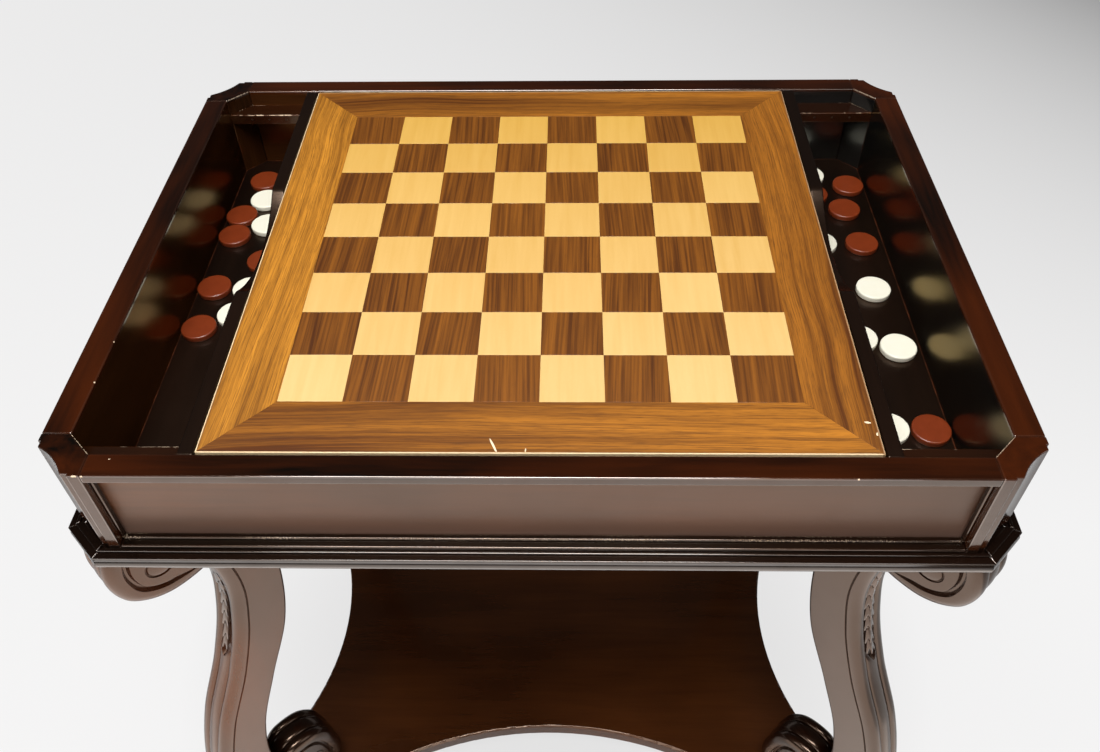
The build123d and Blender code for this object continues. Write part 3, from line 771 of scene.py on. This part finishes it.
def walnut_border(name, axis, seed, shade):
    """Flowing walnut: long wavering bands, light to dark brown, with fine pores."""
    paint = Paint(name, Coat_Roughness=0.25, Coat_Weight=0.15)
    across = paint.y if axis == "X" else paint.x
    run = paint.x if axis == "X" else paint.y
    wander = paint.noise(paint.vector(run * 2.4, across * 2.5, seed), 1.0, 2.0) * 0.06
    bands = paint.noise(paint.vector(run * 2.2, (across + wander) * 160.0, seed * 2.0), 1.0, 6.0, 0.7)
    fine = paint.noise(paint.vector(run * 14.0, (across + wander) * 1000.0, seed), 1.0, 3.0, 0.65)
    broad = paint.noise(paint.vector(run * 1.8, (across + wander) * 26.0, seed * 3.0), 1.0, 2.0)
    tone = bands.over(0.5, 0.26) * 0.55 + broad.over(0.5, 0.22) * 0.45
    # Painted light: the front border lightens towards the right.
    if name.startswith("front"):
        tone = (tone + paint.x * 1.6).math("MAXIMUM", 0.0).math("MINIMUM", 1.0)
    green = shade ** 1.4
    low, high = (0.100 * shade, 0.027 * green, 0.002, 1), (0.53 * shade, 0.205 * green, 0.020 * green, 1)
    colour = paint.blend(tone, low, high)
    pores = paint.noise(paint.vector(run * 60.0, (across + wander) * 1700.0, seed * 4.0), 1.0, 2.0, 0.6)
    dark = (0.075 * shade, 0.022 * shade, 0.003, 1)
    colour = paint.blend(fine.over(0.56, 0.14) * 0.55, colour, dark)
    colour = paint.blend(pores.over(0.58, 0.12) * 0.45, colour, dark)
    colour = paint.blend(marks(paint, CHIPS), colour, (*CHIPPED, 1))
    paint.put(paint.shader, Base_Color=colour, Roughness=0.34 + fine * 0.15)
    paint.bump(fine, 0.00008, 0.5)
    return paint.material


def cell(paint, seed):
    """A random number for each square of the board."""
    column = (paint.x * (1 / SQUARE)).math("FLOOR")
    row = (paint.y * (1 / SQUARE)).math("FLOOR")
    return paint.node("TexWhiteNoise", Vector=paint.vector(column, row, seed))


def walnut_squares():
    """Quarter-cut walnut squares: straight dark stripes from front to back."""
    paint = Paint("dark_squares_walnut", Coat_Roughness=0.25, Coat_Weight=0.25)
    shift = cell(paint, 1.0)
    lean = (cell(paint, 2.0) - 0.5) * 0.12
    x = paint.x + paint.y * lean + shift * 3.0
    stripes = paint.noise(paint.vector(x * 430.0, paint.y * 7.0, shift * 9.0), 1.0, 3.0, 0.55, 0.25)
    broad = paint.noise(paint.vector(x * 75.0, paint.y * 4.0, shift * 5.0), 1.0, 2.0)
    pores = paint.noise(paint.vector(x * 2400.0, paint.y * 90.0, 0.0), 1.0, 2.0)
    tone = stripes.over(0.5, 0.26) * 0.6 + broad.over(0.5, 0.3) * 0.25 + cell(paint, 3.0) * 0.15
    colour = paint.blend(tone, (0.058, 0.0140, 0.001, 1), (0.25, 0.082, 0.007, 1))
    colour = paint.blend(pores.over(0.66, 0.12) * 0.4, colour, (0.045, 0.014, 0.003, 1))
    paint.put(paint.shader, Base_Color=colour, Roughness=0.36 + pores * 0.14)
    paint.bump(pores, 0.00008, 0.4)
    return paint.material


def maple_squares():
    """Maple squares: pale, each of its own tone, with a faint figure."""
    paint = Paint("light_squares_maple", Coat_Roughness=0.25, Coat_Weight=0.25)
    shift = cell(paint, 4.0)
    x = paint.x + shift * 2.0
    figure = paint.noise(paint.vector(x * 160.0, paint.y * 12.0, shift * 7.0), 1.0, 4.0, 0.5, 0.4)
    flecks = paint.noise(paint.vector(x * 700.0, paint.y * 420.0, shift), 1.0, 2.0)
    tone = figure.over(0.5, 0.5) * 0.45 + shift * 0.35 + flecks * 0.2
    near = paint.blend(tone, (0.64, 0.39, 0.125, 1), (0.75, 0.51, 0.215, 1))
    far = paint.blend(tone, (0.58, 0.310, 0.045, 1), (0.70, 0.420, 0.095, 1))
    # Painted light: the squares are lighter and hazier near the front, and richer towards the back.
    colour = paint.blend(paint.y.over(0.02, 0.4), near, far)
    paint.put(paint.shader, Base_Color=colour, Roughness=0.36 + flecks * 0.12)
    paint.bump(flecks, 0.00005, 0.3)
    return paint.material


def pale_strip():
    """The thin edging strip: pale along its outer arris, stained on its top, and darker on the right."""
    paint = Paint("board_edge_strip")
    grain = paint.noise(paint.place, 420.0, 4.0)
    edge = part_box("board_lipping")[1]
    out = (paint.x.math("ABSOLUTE") - edge.x).math("MAXIMUM", paint.y.math("ABSOLUTE") - edge.y)
    shown = out.over(-0.0010, 0.0004) * (1 - paint.x.over(edge.x - 0.002, 0.001) * 0.65)
    pale = paint.blend(grain, (0.62, 0.42, 0.22, 1), (0.86, 0.68, 0.42, 1))
    paint.put(paint.shader, Base_Color=paint.blend(shown, (0.20, 0.075, 0.018, 1), pale))
    paint.put(paint.shader, Roughness=0.4 + grain * 0.2)
    paint.bump(grain, 0.0001, 0.5)
    return paint.material


for seed, side in enumerate(SIDES):
    axis = "X" if side in ("front", "back") else "Y"
    walnut = walnut_border(f"{side}_border_walnut", axis, 1.7 + seed * 3.1, BORDER_WOOD_AND_LIGHT_SHADES[side])
    veneer = [f"{side}_border"], f"{side}_border_veneer", (walnut, walnut), "border_walnut"
    eased(*veneer, body="board", width=VENEER_ARRIS, segments=1)
for node, name, wood, slot, arris, segments in (
    ("light_squares", "maple_squares", maple_squares(), "light_maple", VENEER_ARRIS, 1),
    ("dark_squares", "walnut_squares", walnut_squares(), "dark_walnut", VENEER_ARRIS, 1),
    ("board_lipping", "edging_strip", pale_strip(), "board_edge", STRIP_ARRIS, 2),
    ("board_core", "board_core_panel", PLAIN_WOOD, "plain_wood", CORE_ARRIS, 1),
):
    eased([node], name, (wood, wood), slot, body="board", width=arris, segments=segments)

# The men: turned wooden discs with a round at the upper edge, lacquered cream or red-brown. They
# lie loose in the wells. Their profile runs from the top's centre to the foot's.
SEAM = 0.000005
MAN_PROFILE = [
    (0.0, 6.0), (14.9, 6.0), (15.5, 5.96), (16.0, 5.83), (16.4, 5.55), (16.66, 5.1), (16.78, 4.6),
    (16.8, 4.1), (16.8, 1.3), (16.7, 0.75), (16.4, 0.3), (16.0, 0.08), (15.6, 0.0), (0.0, 0.0),
]


def lacquer(name, low, high):
    """Thick glossy lacquer over turned wood, with the faint rings of the lathe and handling."""
    paint = Paint(name, Coat_Roughness=0.12, Coat_Weight=0.5)
    mottle = paint.noise(paint.place, 120.0, 3.0)
    dust = paint.noise(paint.place, 1400.0, 3.0)
    paint.put(paint.shader, Base_Color=paint.blend(mottle, (*low, 1), (*high, 1)))
    paint.put(paint.shader, Roughness=0.3 + dust * 0.16)
    paint.bump(mottle + dust * 0.15, 0.00015, 0.4)
    return paint.material


def build_men(node, material):
    """One turned disc over each solid of the node."""
    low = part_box(node)[0].z
    parts = bmesh.new()
    parts.from_mesh(nodes[node].data)
    bmesh.ops.remove_doubles(parts, verts=parts.verts, dist=JOIN)
    unseen = set(parts.verts)
    mesh = bmesh.new()
    while unseen:
        group, queue = [], [unseen.pop()]
        while queue:
            vert = queue.pop()
            group.append(vert.co)
            near = {edge.other_vert(vert) for edge in vert.link_edges} & unseen
            unseen -= near
            queue += near
        left, right = min(c.x for c in group), max(c.x for c in group)
        front, back = min(c.y for c in group), max(c.y for c in group)
        middle = Vector(((left + right) / 2, (front + back) / 2, low))
        line = [mesh.verts.new(middle + Vector((r * MM, 0, z * MM))) for r, z in MAN_PROFILE]
        edges = [mesh.edges.new(pair) for pair in zip(line, line[1:])]
        bmesh.ops.spin(
            mesh, geom=line + edges, cent=middle, axis=(0, 0, 1), angle=2 * pi, steps=64, use_merge=True,
        )
    parts.free()
    bmesh.ops.remove_doubles(mesh, verts=mesh.verts, dist=SEAM)
    bmesh.ops.recalc_face_normals(mesh, faces=mesh.faces)
    piece(mesh, f"{node}_turned", (material,), f"{node}_set", (node,))


cream = lacquer("cream_lacquer", (0.85, 0.81, 0.65), (0.88, 0.85, 0.72))
brown = lacquer("brown_lacquer", (0.143, 0.020, 0.003), (0.20, 0.031, 0.006))
for side in ("left", "right"):
    build_men(f"{side}_light_men", cream)
    build_men(f"{side}_dark_men", brown)

# The stage: a pale floor without an edge in view, and soft studio lights hidden from the camera.
# One low light in front faces up, and shows only as the sheen on the upright front faces.
FLOOR_HALF = 6.0
PALE = (0.945, 0.94, 0.94, 1)
BACK_SHADE = 0.088
UNDER_SHADE = 0.13
CAMERA_SHARE = 0.9
SKY_LIGHT = 0.035


def floor():
    """A floor that the camera sees pale, with painted shade: darker towards the back on the right, and a
    painted shadow under the table.
    """
    mesh = bmesh.new()
    bmesh.ops.create_grid(mesh, x_segments=2, y_segments=2, size=FLOOR_HALF)
    data = bpy.data.meshes.new("floor")
    mesh.to_mesh(data)
    mesh.free()
    thing = bpy.data.objects.new("floor", data)
    bpy.context.scene.collection.objects.link(thing)
    paint = Paint("floor", Base_Color=(0.62, 0.62, 0.62, 1), Roughness=0.9)
    behind = (paint.x * 0.82).math("EXPONENT") * (paint.y - 0.2).math("MAXIMUM", 0.0)
    under = (1.2 - (paint.x * paint.x * 4.0 + paint.y * paint.y * 5.0)).math("MAXIMUM", 0.0)
    shade = behind * BACK_SHADE + under * UNDER_SHADE
    glow = paint.node("Emission", Color=paint.blend(shade.math("MINIMUM", 1.0), PALE, (0, 0, 0, 1)))
    seen = paint.node("LightPath", "Is Camera Ray") * CAMERA_SHARE
    mix = paint.node("MixShader", i0=seen, i1=Wire(paint.tree, paint.shader.outputs[0]), i2=glow)
    paint.tree.links.new(mix.socket, paint.tree.nodes["Material Output"].inputs["Surface"])
    data.materials.append(paint.material)


def softbox(name, place, target, size, watts, colour=(1, 1, 1)):
    """A rectangular area light at a place, turned to a target."""
    light = bpy.data.lights.new(name, "AREA")
    light.shape = "RECTANGLE"
    light.size, light.size_y = size
    light.energy = watts
    light.color = colour
    thing = bpy.data.objects.new(name, light)
    bpy.context.scene.collection.objects.link(thing)
    thing.location = place
    thing.rotation_euler = (Vector(target) - Vector(place)).to_track_quat("-Z", "Y").to_euler()
    thing.visible_camera = False


floor()
softbox("overhead", (-0.15, -0.55, 2.7), (0, 0.05, 0.7), (1.3, 0.9), 64)
softbox("left", (-2.0, -1.2, 1.9), (0, 0, 0.6), (1.2, 1.2), 9)
softbox("right", (2.0, -1.0, 1.9), (0, 0, 0.6), (1.2, 1.2), 6)
softbox("front", (-0.3, -2.8, 1.2), (0, 0, 0.6), (3.2, 1.4), 34)
softbox("bounce", (-0.52, -1.05, 0.03), (-0.52, -1.04, 1.0), (2.6, 1.5), 9.2, (1.0, 0.85, 0.74))

world = bpy.data.worlds.new("studio")
world.use_nodes = True
bpy.context.scene.world = world
sky = world.node_tree.nodes["Background"]
sky.inputs["Color"].default_value = (1.0, 1.0, 1.0, 1)
sky.inputs["Strength"].default_value = SKY_LIGHT

# The camera: above the front edge, a little to the right, looking down into the wells.
# Its place and its two directions were solved from the board's squares in the photograph.
IMAGE_WIDTH = 1100
FOCAL_PIXELS = 957.0
CAMERA_PLACE = (0.0237, -0.6945, 1.3107)
CAMERA_RIGHT = (0.99978, 0.01565, -0.01395)
CAMERA_DOWN = (0.0018, -0.7269, -0.6867)

camera = bpy.data.cameras.new("camera")
camera.lens = FOCAL_PIXELS / IMAGE_WIDTH * camera.sensor_width
viewer = bpy.data.objects.new("camera", camera)
bpy.context.scene.collection.objects.link(viewer)
right = Vector(CAMERA_RIGHT).normalized()
up = -Vector(CAMERA_DOWN)
up = (up - right * up.dot(right)).normalized()
turn = Matrix((right, up, right.cross(up))).transposed()
viewer.matrix_world = Matrix.Translation(CAMERA_PLACE) @ turn.to_4x4()
bpy.context.scene.camera = viewer
bpy.context.scene.view_settings.view_transform = "Standard"
